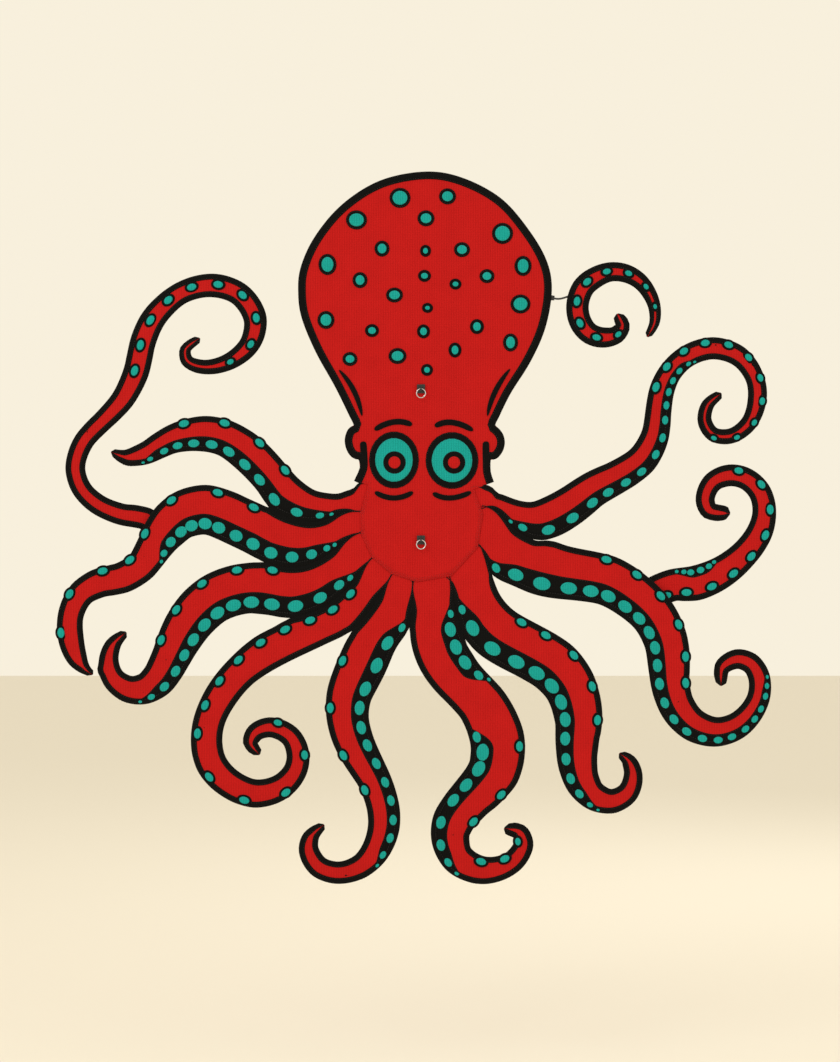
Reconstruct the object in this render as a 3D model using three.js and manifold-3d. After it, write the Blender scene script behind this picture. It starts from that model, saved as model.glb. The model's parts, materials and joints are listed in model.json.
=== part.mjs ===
// Octopus kite: a flat figure kite of cloth panels stretched on bent rods.
// Millimetres. +X right and +Z up as the decorated front is seen, +Y towards the back.
// The origin is the tow point, on the back of the cloth at the centre of the arm ring.

import * as THREE from 'three';
import { ConvexGeometry } from 'three/addons/geometries/ConvexGeometry.js';
import { mergeVertices } from 'three/addons/utils/BufferGeometryUtils.js';
import Module from 'manifold-3d';

const wasm = await Module();
wasm.setup();

// ---------------------------------------------------------------- driving dimensions

const CLOTH_THICKNESS = 3;
const FRAME_Y = 4.5;          // centre of the spine, hoops and arm spars, behind the cloth
const CROSS_Y = 12;           // centre of the arm ring and the spreaders, behind the spine
const FIT = 0.35;             // clearance of a rod in its fitting
const FITTING_FRONT = 0.4;    // front of every fitting, just behind the cloth
const FITTING_BACK = 16.4;

const RING_RADIUS = 120;
const RING_ROD = 3;
const SKIRT_EDGE = 121;       // the head cloth ends here, square to each arm
const ARM_EDGE = 126;         // the arm cloth starts here
const SEAM_GAP = 4;           // between the cloth of two arms that lie side by side
const SWEEP_START = 150;      // the arms are flat up to here, then sweep gently back
const SWEEP_SPAN = 700;
const SWEEP_DEPTH = 60;
const REAR_LAYER = 11;        // how far an arm that lies behind another is set back

const SPAR_ROD = 2;
const HOOP_ROD = 2.5;
const HOOP_INSET = 9;
const SPINE_ROD = 3;
const SPINE_TOP = 682;
const SPINE_BOTTOM = -127;
const SPREADER_ROD = 3;
const SPREADER_HEIGHTS = { upper: 470, lower: 300 };
const SPAR_SHARE = 0.88;      // how much of an arm's length its spar reaches

const KNUCKLE_WIDTH = 14;
const KNUCKLE_BOSS = 7;
const SOCKET_LENGTH = 32;
const COLLAR_RADIUS = 5;
const COLLAR_WIDTH = 2;
const SMALL_BOSS = 3.8;       // boss of a knuckle that turns on a spar or a hoop
const SMALL_WIDTH = 11;
const SMALL_SOCKET = 16;

const HUB_PLATE_RADIUS = 26;
const HUB_PLATE_BACK = 20;
const TOW_TAB_HEIGHTS = { upper: 262, lower: -40 };
const TOW_RING_RADIUS = 9;
const TOW_RING_WIRE = 1.2;
const TOW_EYE_Y = -10;

// ---------------------------------------------------------------- materials

const cloth = new THREE.MeshStandardMaterial({ color: 0xc41c1c, roughness: 0.85, metalness: 0 });
const carbon = new THREE.MeshStandardMaterial({ color: 0x18181a, roughness: 0.35, metalness: 0 });
const fibreglass = new THREE.MeshStandardMaterial({ color: 0x2a2a2c, roughness: 0.4, metalness: 0 });
const nylon = new THREE.MeshStandardMaterial({ color: 0x141414, roughness: 0.55, metalness: 0 });
const steel = new THREE.MeshStandardMaterial({ color: 0xb8babd, roughness: 0.3, metalness: 1 });

const kite = new THREE.Group();

function addPart(name, geometry, material) {
  const mesh = new THREE.Mesh(geometry, material);
  mesh.name = name;
  kite.add(mesh);
  return mesh;
}

// ---------------------------------------------------------------- solids

function toSolid(geometry) {
  const bare = geometry.clone();
  bare.deleteAttribute('normal');
  bare.deleteAttribute('uv');
  const merged = mergeVertices(bare, 1e-4);
  const vertProperties = new Float32Array(merged.attributes.position.array);
  const triVerts = new Uint32Array(merged.index.array);
  return new wasm.Manifold(new wasm.Mesh({ numProp: 3, vertProperties, triVerts }));
}

function toGeometry(solid) {
  const mesh = solid.getMesh();
  const geometry = new THREE.BufferGeometry();
  geometry.setAttribute('position', new THREE.BufferAttribute(mesh.vertProperties, 3));
  geometry.setIndex(new THREE.BufferAttribute(mesh.triVerts, 1));
  geometry.computeVertexNormals();
  return geometry;
}

function cut(geometry, tools) {
  let solid = toSolid(geometry);
  for (const tool of tools) {
    solid = solid.subtract(toSolid(tool));
  }
  return toGeometry(solid);
}

function join(geometries) {
  let solid = toSolid(geometries[0]);
  for (const other of geometries.slice(1)) {
    solid = solid.add(toSolid(other));
  }
  return toGeometry(solid);
}

function box(low, high) {
  const size = high.map((value, axis) => value - low[axis]);
  const centre = high.map((value, axis) => (value + low[axis]) / 2);
  return new THREE.BoxGeometry(...size).translate(...centre);
}

function rod(start, end, radius, sides) {
  const along = end.clone().sub(start);
  const turn = new THREE.Quaternion().setFromUnitVectors(
    new THREE.Vector3(0, 1, 0), along.clone().normalize());
  const middle = start.clone().add(end).multiplyScalar(0.5);
  return new THREE.CylinderGeometry(radius, radius, along.length(), sides)
    .applyQuaternion(turn)
    .translate(middle.x, middle.y, middle.z);
}

function tube(points, radius, sides, steps) {
  const section = new THREE.Shape();
  for (let i = 0; i < sides; i += 1) {
    const angle = (2 * Math.PI * i) / sides;
    const at = [radius * Math.cos(angle), radius * Math.sin(angle)];
    if (i === 0) {
      section.moveTo(...at);
    } else {
      section.lineTo(...at);
    }
  }
  section.closePath();
  const route = new THREE.CatmullRomCurve3(points, false, 'centripetal');
  return new THREE.ExtrudeGeometry(section, { steps, extrudePath: route, bevelEnabled: false });
}

// A flat plate of cloth: its outline is in X and Z, its back at the given Y.
function plate(outline, thickness, back) {
  const shape = new THREE.Shape(outline);
  return new THREE.ExtrudeGeometry(shape, { depth: thickness, bevelEnabled: false })
    .rotateX(Math.PI / 2)
    .translate(0, back, 0);
}

// ---------------------------------------------------------------- plane curves

const point = (x, z) => new THREE.Vector2(x, z);

function unit(degrees) {
  const angle = THREE.MathUtils.degToRad(degrees);
  return point(Math.cos(angle), Math.sin(angle));
}

const leftOf = (direction) => point(-direction.y, direction.x);

const lifted = (flat, y) => new THREE.Vector3(flat.x, y, flat.y);

function smooth(points, perSegment) {
  const spline = new THREE.SplineCurve(points.map(([x, z]) => point(x, z)));
  return spline.getPoints(perSegment * (points.length - 1));
}

function sweep(flat) {
  const beyond = Math.max(0, flat.length() - SWEEP_START);
  return SWEEP_DEPTH * (beyond / SWEEP_SPAN) ** 2;
}

// Distance from a point along a direction to a seam, or null where it misses.
function reachTo(seam, from, direction) {
  for (let i = 0; i + 1 < seam.length; i += 1) {
    const start = seam[i].clone().sub(from);
    const run = seam[i + 1].clone().sub(seam[i]);
    const across = direction.cross(run);
    const share = start.cross(direction) / across;
    const distance = start.cross(run) / across;
    if (share >= 0 && share <= 1 && distance > 0) {
      return distance;
    }
  }
  return null;
}

// ---------------------------------------------------------------- head outline

const DOME = [
  [148, 190], [178, 252], [218, 316], [248, 384], [261, 460], [250, 520], [212, 584], [158, 644],
  [82, 684], [8, 696], [-82, 678], [-158, 630], [-212, 566], [-240, 505], [-245, 455], [-238, 404],
  [-210, 336], [-170, 264], [-134, 190],
];
const RIGHT_EAR = [[139, 120], [152, 124], [163, 138], [167, 156], [162, 174], [148, 190]];
const LEFT_EAR = [[-134, 190], [-146, 180], [-152, 160], [-148, 140], [-138, 126], [-124, 120]];
const RIGHT_NECK = point(139, 96);
const LEFT_NECK = point(-122, 104);

// ---------------------------------------------------------------- seams between the arms

// Each seam starts under the ring, passes the tip of the notch and ends where the arms part.
function seam(tip, ...rest) {
  const start = point(...tip).normalize().multiplyScalar(105);
  return [start, ...[tip, ...rest].map(([x, z]) => point(x, z))];
}

const SEAMS = {
  neck_2: [point(-82, 62), point(-134, 76), point(-143, 63), point(-162, 54), point(-180, 52)],
  from_2_to_3: seam([-146, 20], [-215, -10], [-278, 6]),
  from_3_to_4: seam([-137, -29], [-205, -86], [-255, -101], [-317, -86]),
  from_4_to_5: seam([-91, -64], [-140, -132], [-190, -178], [-252, -196]),
  from_5_to_6: seam([-76, -141], [-100, -178], [-130, -216]),
  from_6_to_7: seam([-17, -130], [-18, -180], [-27, -242]),
  from_7_to_8: seam([56, -107], [68, -180], [87, -250]),
  from_8_to_9: seam([120, -52], [146, -126]),
  from_9_to_11: seam([145, 30], [180, -15], [225, -45], [253, -43]),
  neck_11: [point(92, 54), point(146, 74), point(164, 52), point(186, 41), point(210, 38)],
};

// ---------------------------------------------------------------- arms

// bearing: direction in which the arm leaves the ring, in degrees from +X towards +Z.
// path: centre line from root to tip as [x, z, width of the cloth].
const RING_ARMS = {
  arm_2: {
    bearing: 165, seams: ['from_2_to_3', 'neck_2'],
    path: [
      [-168, 26, 60], [-220, 23, 72], [-268, 50, 78], [-298, 84, 76], [-338, 127, 78],
      [-390, 163, 73], [-440, 173, 70], [-500, 162, 57], [-550, 136, 46], [-590, 126, 33],
      [-616, 134, 16],
    ],
  },
  arm_3: {
    bearing: 182, seams: ['from_3_to_4', 'from_2_to_3'],
    path: [
      [-165, -30, 80], [-220, -52, 86], [-300, -36, 92], [-356, -8, 98], [-426, 20, 99],
      [-478, 10, 95], [-512, -20, 86], [-537, -56, 72], [-562, -92, 64], [-601, -116, 62],
      [-645, -126, 59], [-684, -148, 54], [-706, -191, 52], [-706, -240, 52], [-692, -282, 40],
      [-670, -308, 14],
    ],
  },
  arm_4: {
    bearing: 204, seams: ['from_4_to_5', 'from_3_to_4'],
    path: [
      [-150, -92, 84], [-220, -144, 92], [-290, -142, 98], [-350, -137, 100], [-410, -155, 99],
      [-452, -190, 96], [-482, -234, 88], [-503, -277, 78], [-527, -318, 71], [-556, -339, 62],
      [-590, -340, 54], [-620, -318, 47], [-629, -283, 40], [-619, -250, 31], [-600, -231, 18],
    ],
  },
  arm_5: {
    bearing: 229, seams: ['from_5_to_6', 'from_4_to_5'],
    path: [
      [-110, -140, 66], [-150, -185, 68], [-205, -216, 70], [-251, -236, 73], [-310, -265, 75],
      [-360, -303, 68], [-398, -348, 66], [-424, -399, 63], [-431, -448, 63], [-420, -493, 63],
      [-385, -530, 60], [-335, -550, 57], [-285, -538, 52], [-254, -506, 47], [-247, -470, 45],
      [-262, -434, 42], [-300, -416, 40], [-332, -426, 36], [-342, -448, 30], [-331, -464, 20],
    ],
  },
  arm_6: {
    bearing: 252.6, seams: ['from_6_to_7', 'from_5_to_6'],
    path: [
      [-54, -170, 72], [-85, -225, 86], [-116, -286, 98], [-143, -348, 90], [-147, -395, 84],
      [-136, -440, 80], [-117, -480, 74], [-94, -522, 67], [-77, -573, 65], [-75, -618, 63],
      [-91, -664, 57], [-121, -697, 49], [-165, -711, 45], [-206, -699, 44], [-226, -665, 40],
      [-221, -637, 32], [-202, -618, 18],
    ],
  },
  arm_7: {
    bearing: 280, seams: ['from_7_to_8', 'from_6_to_7'],
    path: [
      [27, -180, 86], [32, -245, 103], [53, -293, 101], [86, -330, 98], [124, -372, 101],
      [150, -428, 108], [154, -467, 108], [143, -510, 104], [98, -562, 90], [67, -602, 84],
      [59, -640, 76], [77, -684, 66], [128, -706, 56], [181, -691, 46], [206, -655, 40],
      [198, -628, 34], [180, -622, 26],
    ],
  },
  arm_8: {
    bearing: 317, seams: ['from_8_to_9', 'from_7_to_8'],
    path: [
      [105, -158, 98], [147, -222, 110], [212, -260, 110], [265, -292, 110], [300, -336, 104],
      [316, -397, 96], [314, -439, 88], [314, -482, 80], [324, -524, 70], [348, -555, 58],
      [385, -566, 49], [417, -548, 44], [427, -512, 37], [418, -485, 29], [406, -474, 18],
    ],
  },
  arm_9: {
    bearing: 351, seams: ['from_9_to_11', 'from_8_to_9'],
    path: [
      [164, -48, 100], [205, -80, 108], [250, -99, 110], [310, -109, 103], [372, -121, 100],
      [421, -149, 96], [465, -190, 91], [491, -241, 88], [498, -287, 85], [501, -328, 78],
      [515, -374, 72], [548, -412, 66], [597, -427, 59], [645, -410, 54], [679, -365, 47],
      [683, -321, 44], [666, -290, 41], [636, -280, 39], [607, -296, 33], [604, -322, 24],
    ],
  },
  arm_11: {
    bearing: 20, seams: ['neck_11', 'from_9_to_11'],
    path: [
      [180, 12, 62], [230, -3, 80], [294, 24, 80], [342, 60, 73], [392, 86, 66], [442, 120, 62],
      [469, 168, 56], [476, 214, 52], [483, 258, 50], [501, 297, 46], [536, 330, 44],
      [588, 346, 44], [641, 330, 42], [672, 289, 38], [678, 247, 38], [662, 198, 33],
      [626, 170, 30], [588, 172, 29], [570, 200, 28], [577, 232, 25], [597, 250, 18],
    ],
  },
};

// These three turn on a rod of the arm or hoop that carries them, close behind it.
// path starts at the pivot, and the cloth starts a little further out.
const CARRIED_ARMS = {
  arm_1: {
    carrier: 'arm_3', near: [-520, -32], layer: REAR_LAYER,
    path: [
      [-552, 2, 46], [-600, 11, 43], [-647, 29, 41], [-684, 62, 40], [-698, 108, 40],
      [-680, 160, 41], [-642, 200, 42], [-602, 243, 47], [-574, 300, 52], [-562, 355, 52],
      [-545, 398, 51], [-520, 430, 48], [-480, 460, 45], [-422, 473, 47], [-366, 455, 46],
      [-334, 407, 46], [-341, 360, 42], [-366, 331, 37], [-400, 313, 32], [-438, 308, 28],
      [-470, 320, 25], [-474, 344, 22], [-452, 362, 16],
    ],
  },
  arm_10: {
    carrier: 'arm_9', near: [442, -168], layer: REAR_LAYER,
    path: [
      [506, -131, 64], [552, -127, 70], [604, -106, 65], [650, -70, 57], [682, -27, 53],
      [693, 16, 48], [684, 56, 46], [656, 83, 44], [621, 90, 43], [587, 76, 40], [572, 43, 38],
      [581, 19, 36], [608, 14, 30],
    ],
  },
};

const CURL = {
  path: [
    [324, 464, 44], [347, 484, 42], [378, 496, 38], [410, 493, 36], [438, 477, 32],
    [457, 452, 28], [467, 425, 24], [467, 395, 20], [456, 372, 14],
  ],
  inner: [
    [313, 430, 44], [318, 398, 44], [336, 374, 42], [362, 365, 40], [390, 370, 35],
    [403, 388, 29], [398, 402, 24],
  ],
};

const STATIONS_PER_SEGMENT = 2;

function centreLine(path) {
  return new THREE.CatmullRomCurve3(
    path.map(([x, z, width]) => new THREE.Vector3(x, z, width)), false, 'centripetal');
}

// Stations along a centre line: where they are, which way it runs, and the half width.
function stationsOf(path, firstDirection) {
  const line = centreLine(path);
  const count = STATIONS_PER_SEGMENT * (path.length - 1);
  const stations = [];
  for (let i = 0; i <= count; i += 1) {
    const at = line.getPoint(i / count);
    const ahead = line.getTangent(i / count);
    const direction = point(ahead.x, ahead.y).normalize();
    stations.push({ centre: point(at.x, at.y), direction, half: at.z / 2 });
  }
  if (firstDirection) {
    stations[0].direction = firstDirection;
  }
  return stations;
}

// An edge follows the seam as long as the seam runs beside the arm, then the arm's own width.
function edgeHalf(station, side, seamLine) {
  if (seamLine) {
    const reach = reachTo(seamLine, station.centre, side);
    if (reach !== null && reach < station.half * 1.45) {
      return reach - SEAM_GAP / 2;
    }
  }
  return station.half;
}

// Left and right edge of an arm, station by station, with a rounded tip.
function armEdges(stations, leftSeam, rightSeam) {
  const edges = [];
  for (const station of stations) {
    const { centre, direction } = station;
    const side = leftOf(direction);
    const other = side.clone().negate();
    edges.push([
      centre.clone().addScaledVector(side, edgeHalf(station, side, leftSeam)),
      centre.clone().addScaledVector(other, edgeHalf(station, other, rightSeam)),
    ]);
  }
  edges.push(roundedEnd(stations[stations.length - 1], 1));
  return edges;
}

const TIP_REACH = 0.8;        // of the last half width
const TIP_WIDTH = 0.45;

function roundedEnd({ centre, direction, half }, sign) {
  const end = centre.clone().addScaledVector(direction, sign * half * TIP_REACH);
  const side = leftOf(direction).multiplyScalar(half * TIP_WIDTH);
  return [end.clone().add(side), end.clone().sub(side)];
}

// A ribbon of cloth between two edges, swept back with the arms.
function ribbon(edges, layer, sweepOf = sweep) {
  const corners = edges.flatMap(([left, right]) => {
    const [backLeft, backRight] = [left, right].map((at) => lifted(at, layer + sweepOf(at)));
    const [frontLeft, frontRight] = [backLeft, backRight]
      .map((at) => at.clone().setY(at.y - CLOTH_THICKNESS));
    return [frontLeft, frontRight, backRight, backLeft];
  });
  const faces = [];
  for (let i = 0; i + 1 < edges.length; i += 1) {
    for (let k = 0; k < 4; k += 1) {
      const [a, b] = [4 * i + k, 4 * i + ((k + 1) % 4)];
      faces.push(a, b, b + 4, a, b + 4, a + 4);
    }
  }
  const last = 4 * (edges.length - 1);
  faces.push(0, 2, 1, 0, 3, 2, last, last + 1, last + 2, last, last + 2, last + 3);
  const geometry = new THREE.BufferGeometry().setFromPoints(corners);
  geometry.setIndex(faces);
  geometry.computeVertexNormals();
  return geometry;
}

function sparPoints(path, layer) {
  const line = centreLine(path);
  const count = STATIONS_PER_SEGMENT * (path.length - 1);
  const points = [];
  for (let i = 0; i <= SPAR_SHARE * count; i += 1) {
    const at = line.getPoint(i / count);
    const flat = point(at.x, at.y);
    points.push(lifted(flat, FRAME_Y + layer + sweep(flat)));
  }
  return points;
}

const SPAR_STEP = 30;
const FINE_SPAR_STEP = 15;    // where a knuckle turns on the spar, and on the curl's small one
const SPAR_SIDES = 6;

function sparTube(points, radius, step) {
  const length = new THREE.CatmullRomCurve3(points, false, 'centripetal').getLength();
  return tube(points, radius, SPAR_SIDES, Math.round(length / step));
}

// A knuckle is one moulding: a boss that turns on a rod and a socket that holds a spar.
function knuckle({ pivot, axis, out, back, boss, bore, width, reach, lift, socketHalf, spar }) {
  const place = (alongOut, alongBack, alongAxis) => pivot.clone()
    .addScaledVector(out, alongOut)
    .addScaledVector(back, alongBack)
    .addScaledVector(axis, alongAxis);
  const corners = [];
  const around = 16;
  for (const end of [-width / 2, width / 2]) {
    for (let i = 0; i < around; i += 1) {
      const angle = (2 * Math.PI * i) / around;
      corners.push(place(boss * Math.cos(angle), boss * Math.sin(angle), end));
    }
    for (const alongOut of [boss * 0.8, reach]) {
      corners.push(place(alongOut, lift - socketHalf, end * 0.8));
      corners.push(place(alongOut, lift + socketHalf, end * 0.8));
    }
  }
  const hole = rod(place(0, 0, -width), place(0, 0, width), bore, 16);
  return cut(new ConvexGeometry(corners), [hole, spar]);
}

const BACK = new THREE.Vector3(0, 1, 0);

function ringArm(name, { bearing, seams, path }) {
  const out = unit(bearing);
  const root = out.clone().multiplyScalar(ARM_EDGE);
  const whole = [[root.x, root.y, path[0][2]], ...path];
  const stations = stationsOf(whole, out);
  const edges = armEdges(stations, SEAMS[seams[0]], SEAMS[seams[1]]);
  addPart(`${name}_sail`, ribbon(edges, 0), cloth);

  const points = sparPoints(whole, 0);
  const carries = Object.values(CARRIED_ARMS).some((arm) => arm.carrier === name);
  const step = carries ? FINE_SPAR_STEP : SPAR_STEP;
  addPart(`${name}_spar`, sparTube(points, SPAR_ROD, step), fibreglass);

  addPart(`${name}_knuckle`, knuckle({
    pivot: lifted(out.clone().multiplyScalar(RING_RADIUS), CROSS_Y),
    axis: lifted(leftOf(out), 0),
    out: lifted(out, 0),
    back: BACK,
    boss: KNUCKLE_BOSS,
    bore: RING_ROD + 0.6,
    width: KNUCKLE_WIDTH,
    reach: SOCKET_LENGTH,
    lift: FRAME_Y - CROSS_Y,
    socketHalf: FRAME_Y - FITTING_FRONT,
    spar: sparTube(points, SPAR_ROD + FIT, step),
  }), nylon);
}

// ---------------------------------------------------------------- arms carried by a spar

const CARRIED_SPAR_START = 6; // from the pivot
const CARRIED_CLOTH_START = 20;

// The place on a spar nearest to a point, and the spar's direction there.
function pivotOn(points, near) {
  const route = new THREE.CatmullRomCurve3(points, false, 'centripetal');
  const samples = 400;
  let best = 0;
  let least = Infinity;
  for (let i = 0; i <= samples; i += 1) {
    const at = route.getPointAt(i / samples);
    const away = Math.hypot(at.x - near[0], at.z - near[1]);
    if (away < least) {
      least = away;
      best = i / samples;
    }
  }
  return { at: route.getPointAt(best), along: route.getTangentAt(best) };
}

function carriedArm(name, { carrier, near, layer, path }) {
  const { bearing, path: carrierPath } = RING_ARMS[carrier];
  const root = unit(bearing).multiplyScalar(ARM_EDGE);
  const carrierPoints = sparPoints([[root.x, root.y, 0], ...carrierPath], 0);
  const { at: pivot, along: axis } = pivotOn(carrierPoints, near);

  const towards = lifted(point(path[0][0] - pivot.x, path[0][1] - pivot.z), 0);
  const back = BACK.clone().addScaledVector(axis, -BACK.dot(axis)).normalize();
  const out = towards.addScaledVector(axis, -towards.dot(axis));
  out.addScaledVector(back, -out.dot(back)).normalize();
  const slope = sweep(point(pivot.x + out.x, pivot.z + out.z)) - sweep(point(pivot.x, pivot.z));
  out.addScaledVector(back, slope).normalize();
  back.crossVectors(axis, out).normalize();
  if (back.y < 0) {
    back.negate();
  }

  const startAt = (distance) => [
    pivot.x + out.x * distance, pivot.z + out.z * distance, path[0][2]];
  const strip = [startAt(CARRIED_CLOTH_START), ...path];
  const edges = armEdges(stationsOf(strip, point(out.x, out.z).normalize()));
  addPart(`${name}_sail`, ribbon(edges, layer), cloth);

  const points = sparPoints([startAt(CARRIED_SPAR_START), ...path], layer);
  addPart(`${name}_spar`, sparTube(points, SPAR_ROD, SPAR_STEP), fibreglass);
  addPart(`${name}_knuckle`, knuckle({
    pivot, axis, out, back,
    boss: SMALL_BOSS,
    bore: SPAR_ROD + 0.85,
    width: SMALL_WIDTH,
    reach: SMALL_SOCKET,
    lift: layer,
    socketHalf: SPAR_ROD + 2,
    spar: sparTube(points, SPAR_ROD + FIT, SPAR_STEP),
  }), nylon);
}

// ---------------------------------------------------------------- frame of the head

const dome = smooth(DOME, 3);

// The hoops run just inside the edge of the dome and down the neck to the ring.
function inset(outline, distance) {
  return outline.map((at, i) => {
    const before = outline[Math.max(0, i - 1)];
    const after = outline[Math.min(outline.length - 1, i + 1)];
    const inward = leftOf(after.clone().sub(before).normalize());
    return at.clone().addScaledVector(inward, distance);
  });
}

const HOOP_BEARINGS = { right: 40, left: 140 };
const NECK_ROUTE = { right: [[132, 150], [118, 114]], left: [[-116, 150], [-106, 114]] };
const HOOP_JOIN = 0.5;        // half of the gap between the two hoops inside the top fitting

function hoopPoints(side) {
  const sign = side === 'right' ? 1 : -1;
  const rim = inset(dome, HOOP_INSET).filter((at) => sign * at.x > 24);
  if (side === 'right') {
    rim.reverse();
  }
  const neck = NECK_ROUTE[side].map(([x, z]) => point(x, z));
  const foot = unit(HOOP_BEARINGS[side]).multiplyScalar(RING_RADIUS + 6);
  const top = point(sign * HOOP_JOIN, SPINE_TOP + 5);
  return [top, ...rim, ...neck, foot].map((at) => lifted(at, FRAME_Y));
}

const HOOP_STEP = 21;
const ROD_SIDES = 10;

function hoopTube(side, radius) {
  const points = hoopPoints(side);
  const length = new THREE.CatmullRomCurve3(points, false, 'centripetal').getLength();
  return tube(points, radius, 8, Math.round(length / HOOP_STEP));
}

function spineRod(radius) {
  return rod(
    new THREE.Vector3(0, FRAME_Y, SPINE_BOTTOM), new THREE.Vector3(0, FRAME_Y, SPINE_TOP),
    radius, ROD_SIDES);
}

function hoopCrossing(side, height) {
  const points = hoopPoints(side).slice(1);
  for (let i = 0; i + 1 < points.length; i += 1) {
    const [a, b] = [points[i], points[i + 1]];
    if ((a.z - height) * (b.z - height) <= 0 && Math.abs(a.x) > 100) {
      return a.x + ((b.x - a.x) * (height - a.z)) / (b.z - a.z);
    }
  }
  return 0;
}

function spreaderRod(height, radius) {
  return rod(
    new THREE.Vector3(hoopCrossing('left', height), CROSS_Y, height),
    new THREE.Vector3(hoopCrossing('right', height), CROSS_Y, height),
    radius, ROD_SIDES);
}

function ringTorus(radius) {
  return new THREE.TorusGeometry(RING_RADIUS, radius, 8, 60)
    .rotateX(Math.PI / 2)
    .translate(0, CROSS_Y, 0);
}

function collar(bearing, side) {
  const out = unit(bearing);
  const along = lifted(leftOf(out), 0);
  const near = KNUCKLE_WIDTH / 2 + 0.6;
  const centre = lifted(out.multiplyScalar(RING_RADIUS), CROSS_Y);
  return rod(
    centre.clone().addScaledVector(along, side * near),
    centre.clone().addScaledVector(along, side * (near + COLLAR_WIDTH)),
    COLLAR_RADIUS, 8);
}

function hubRing() {
  const collars = Object.values(RING_ARMS)
    .flatMap(({ bearing }) => [collar(bearing, -1), collar(bearing, 1)]);
  return join([ringTorus(RING_ROD), ...collars]);
}

const RING_CLIP_INNER = 112;
const RING_CLIP_OUTER = 128;
const RING_CLIP_OUTER_LOW = 125.4;    // clear of the cloth of the two arms that swing past it
const HOOP_CLIP_OUTER = 142;

// A clip block square to the ring at the given bearing, cut for the rods that it holds.
function ringClip(bearing, halfWidth, outer, rods) {
  const turn = THREE.MathUtils.degToRad(bearing);
  const low = [RING_CLIP_INNER, FITTING_FRONT, -halfWidth];
  const block = box(low, [outer, FITTING_BACK, halfWidth]).rotateY(-turn);
  return cut(block, [ringTorus(RING_ROD + FIT), ...rods]);
}

function headOutline() {
  const arms = Object.values(RING_ARMS);
  const bearings = arms.map(({ bearing }) => (bearing < 90 ? bearing + 360 : bearing));
  const skirt = [];
  for (let i = 0; i + 1 < bearings.length; i += 1) {
    const half = THREE.MathUtils.degToRad(bearings[i + 1] - bearings[i]) / 2;
    const middle = unit((bearings[i] + bearings[i + 1]) / 2);
    skirt.push(middle.multiplyScalar(SKIRT_EDGE / Math.cos(half)));
  }
  const shoulder = (bearing, seamLine, side) => {
    const out = unit(bearing);
    const across = leftOf(out).multiplyScalar(side);
    const offset = seamLine[1].dot(across) + SEAM_GAP / 2;
    const inside = out.clone().multiplyScalar(SKIRT_EDGE).addScaledVector(across, offset);
    const outside = out.multiplyScalar(seamLine[1].dot(out)).addScaledVector(across, offset);
    return [inside, outside];
  };
  const [leftIn, leftOut] = shoulder(RING_ARMS.arm_2.bearing, SEAMS.neck_2, -1);
  const [rightIn, rightOut] = shoulder(RING_ARMS.arm_11.bearing, SEAMS.neck_11, 1);
  return [
    rightIn, rightOut, RIGHT_NECK,
    ...smooth(RIGHT_EAR, 2), ...dome.slice(1), ...smooth(LEFT_EAR, 2).slice(1),
    LEFT_NECK, leftOut, leftIn, ...skirt,
  ];
}

// ---------------------------------------------------------------- the curl beside the head

const CURL_PIVOT_HEIGHT = 446;
const CURL_START = 9;

function buildCurl() {
  const hoop = hoopPoints('right');
  const route = new THREE.CatmullRomCurve3(hoop, false, 'centripetal');
  let share = 0;
  while (route.getPointAt(share).z > CURL_PIVOT_HEIGHT) {
    share += 0.001;
  }
  const pivot = route.getPointAt(share);
  const axis = route.getTangentAt(share);
  const out = new THREE.Vector3().crossVectors(BACK, axis).normalize();
  if (out.x < 0) {
    out.negate();
  }

  const strip = [...CURL.inner].reverse().concat(CURL.path);
  const stations = stationsOf(strip);
  const edges = [roundedEnd(stations[0], -1), ...armEdges(stations)];
  addPart('curl_sail', ribbon(edges, 0, () => 0), cloth);

  const points = [
    pivot.clone().addScaledVector(out, CURL_START),
    pivot.clone().addScaledVector(out, CURL_START + 20),
    ...CURL.path.slice(0, -2).map(([x, z]) => lifted(point(x, z), FRAME_Y)),
  ];
  addPart('curl_spar', sparTube(points, SPAR_ROD, FINE_SPAR_STEP), fibreglass);
  addPart('curl_knuckle', knuckle({
    pivot, axis, out,
    back: BACK,
    boss: SMALL_BOSS,
    bore: HOOP_ROD + 0.6,
    width: SMALL_WIDTH,
    reach: SMALL_SOCKET,
    lift: 0,
    socketHalf: SMALL_BOSS,
    spar: sparTube(points, SPAR_ROD + FIT, FINE_SPAR_STEP),
  }), nylon);
}

// ---------------------------------------------------------------- tow tabs and rings

function towTab(height) {
  const front = -CLOTH_THICKNESS - 0.3;
  const base = box([-8, front - 2, height - 9], [8, front, height + 9]);
  const lug = box([-1.5, TOW_EYE_Y - 4.5, height - 4.5], [1.5, front - 1, height + 4.5]);
  const eye = rod(
    new THREE.Vector3(-4, TOW_EYE_Y, height), new THREE.Vector3(4, TOW_EYE_Y, height), 2.3, 14);
  return cut(join([base, lug]), [eye]);
}

function towRing(height) {
  return new THREE.TorusGeometry(TOW_RING_RADIUS, TOW_RING_WIRE, 6, 20)
    .rotateX(Math.PI / 2)
    .translate(0, TOW_EYE_Y, height - TOW_RING_RADIUS);
}

// ---------------------------------------------------------------- the assembly

addPart('head_sail', plate(headOutline(), CLOTH_THICKNESS, 0), cloth);
addPart('spine', spineRod(SPINE_ROD), carbon);
for (const side of ['left', 'right']) {
  addPart(`hoop_${side}`, hoopTube(side, HOOP_ROD), fibreglass);
}

// The top fitting is a T: a bar over the two hoops and a stem round the end of the spine.
const TOP_BAR_HALF = 22;
const TOP_STEM_HALF = 6;
const TOP_STEM_BOTTOM = SPINE_TOP - 16;
const TOP_BAR_BOTTOM = SPINE_TOP - 1;
const TOP_BAR_TOP = SPINE_TOP + 9;

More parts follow.
